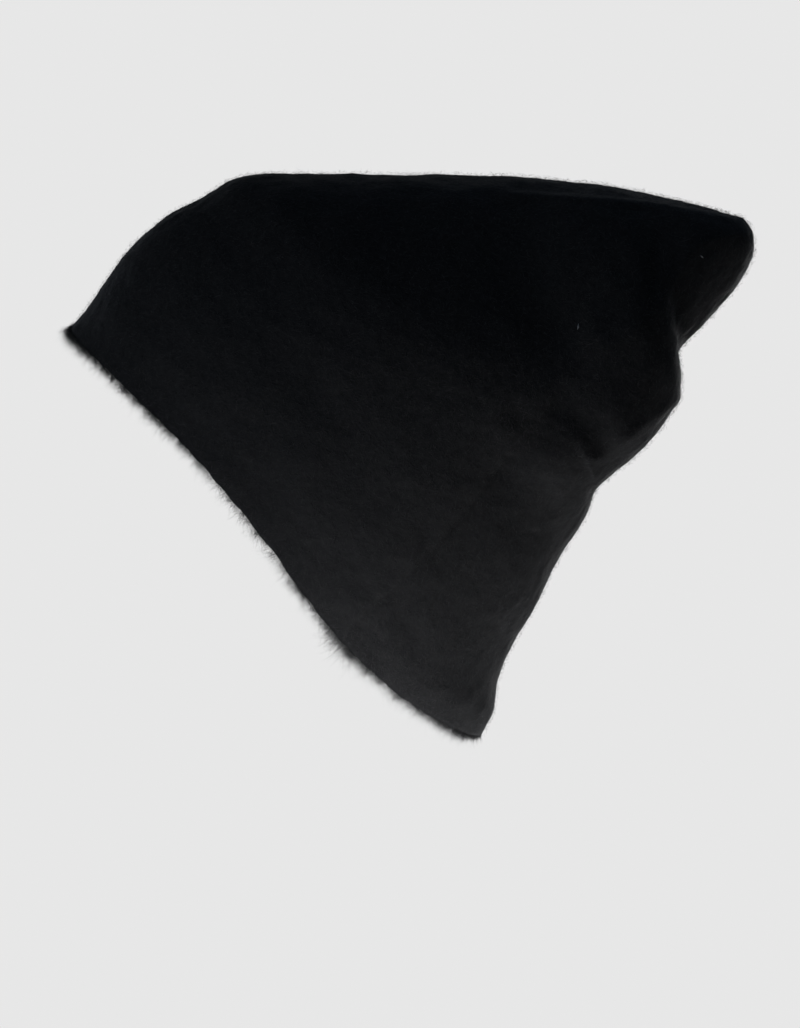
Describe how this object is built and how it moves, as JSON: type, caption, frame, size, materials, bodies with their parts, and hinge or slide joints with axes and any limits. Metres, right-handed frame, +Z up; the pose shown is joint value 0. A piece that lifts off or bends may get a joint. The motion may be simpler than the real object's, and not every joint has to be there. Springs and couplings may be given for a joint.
{
  "type": "slouchy felt beanie",
  "caption": "Seamless slouchy beanie of brushed felt in its worn form: raked open mouth, close crown, and slack folded over at the back into a flat round tip.",
  "frame": {"origin": "where the top of the head meets the inside of the crown, on the hat's middle plane", "axes": "+X from the forehead to the back of the head and the tip, +Y to the wearer's right, +Z up as worn"},
  "size_m": [0.2965, 0.1622, 0.2481],
  "materials": {
    "black_felt": "brushed wool felt, matte, with a short pale-tipped nap"
  },
  "bodies": {
    "root": {"felt_shell": "black_felt"}
  },
  "joints": []
}
